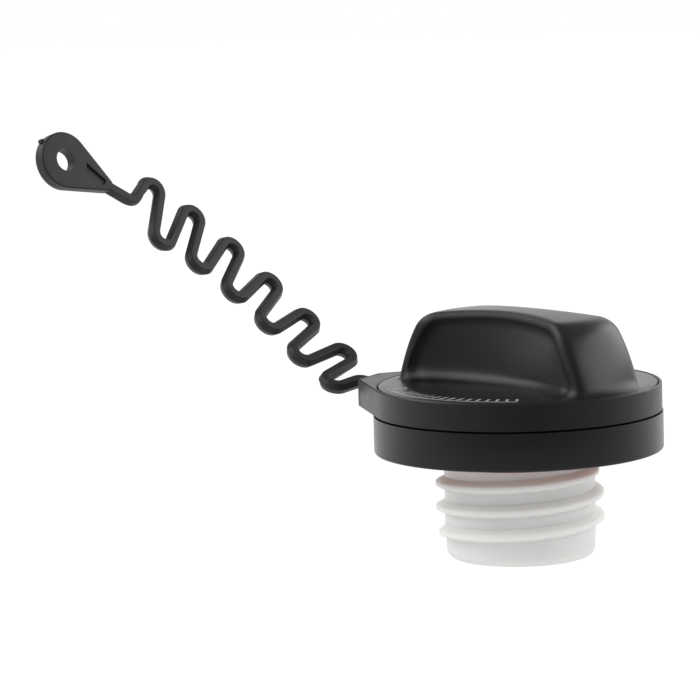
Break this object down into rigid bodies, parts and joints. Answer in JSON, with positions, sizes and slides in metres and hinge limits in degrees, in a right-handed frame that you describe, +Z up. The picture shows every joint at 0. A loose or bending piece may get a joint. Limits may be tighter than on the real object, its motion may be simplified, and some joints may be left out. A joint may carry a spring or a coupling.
{
  "type": "fuel filler cap",
  "caption": "Screw-in fuel filler cap: bow-tie grip on a disc over a hollow threaded plug, with a wavy moulded tether that ends in an eyelet.",
  "frame": {"origin": "on the cap's axis, at the lower end face of the threaded plug", "axes": "+Z up the cap's axis towards the handle, X along the handle, the tether ear lies towards -X"},
  "size_m": [0.1458, 0.1197, 0.1178],
  "materials": {
    "black_plastic": "fine matt moulded texture",
    "tether_plastic": "soft satin moulding",
    "white_plastic": "smooth satin, slightly translucent",
    "seal_rubber": "matt orange-red rubber",
    "valve_rubber": "matt black rubber",
    "spring_steel": "bright drawn wire"
  },
  "bodies": {
    "plug": {"threaded_plug": "white_plastic", "seal_ring": "seal_rubber", "valve_seat": "white_plastic", "valve_cage": "white_plastic", "pressure_spring": "spring_steel"},
    "grip": {"grip": "black_plastic", "skirt": "black_plastic", "ratchet_ring": "white_plastic"},
    "tether": {"tether": "tether_plastic"},
    "pressure_valve": {"pressure_plate": "white_plastic", "valve_gasket": "valve_rubber", "vacuum_spring": "spring_steel"},
    "vacuum_valve": {"vacuum_valve": "white_plastic", "stem_clip": "spring_steel"}
  },
  "joints": [
    {"name": "grip_turn", "type": "hinge", "parent": "plug", "child": "grip", "pos_m": [0, 0, 0.035], "axis": [0, 0, 1], "continuous": true},
    {"name": "tether_turn", "type": "hinge", "parent": "grip", "child": "tether", "pos_m": [0, 0, 0.0412], "axis": [0, 0, 1], "continuous": true},
    {"name": "pressure_lift", "type": "slide", "parent": "plug", "child": "pressure_valve", "axis": [0, 0, 1], "range_m": [0, 0.002], "stiffness_N_per_m": 400, "springref_m": -0.004, "deforming": ["pressure_spring"]},
    {"name": "vacuum_drop", "type": "slide", "parent": "pressure_valve", "child": "vacuum_valve", "axis": [0, 0, -1], "range_m": [0, 0.0015], "stiffness_N_per_m": 100, "springref_m": -0.003, "deforming": ["vacuum_spring"]}
  ]
}
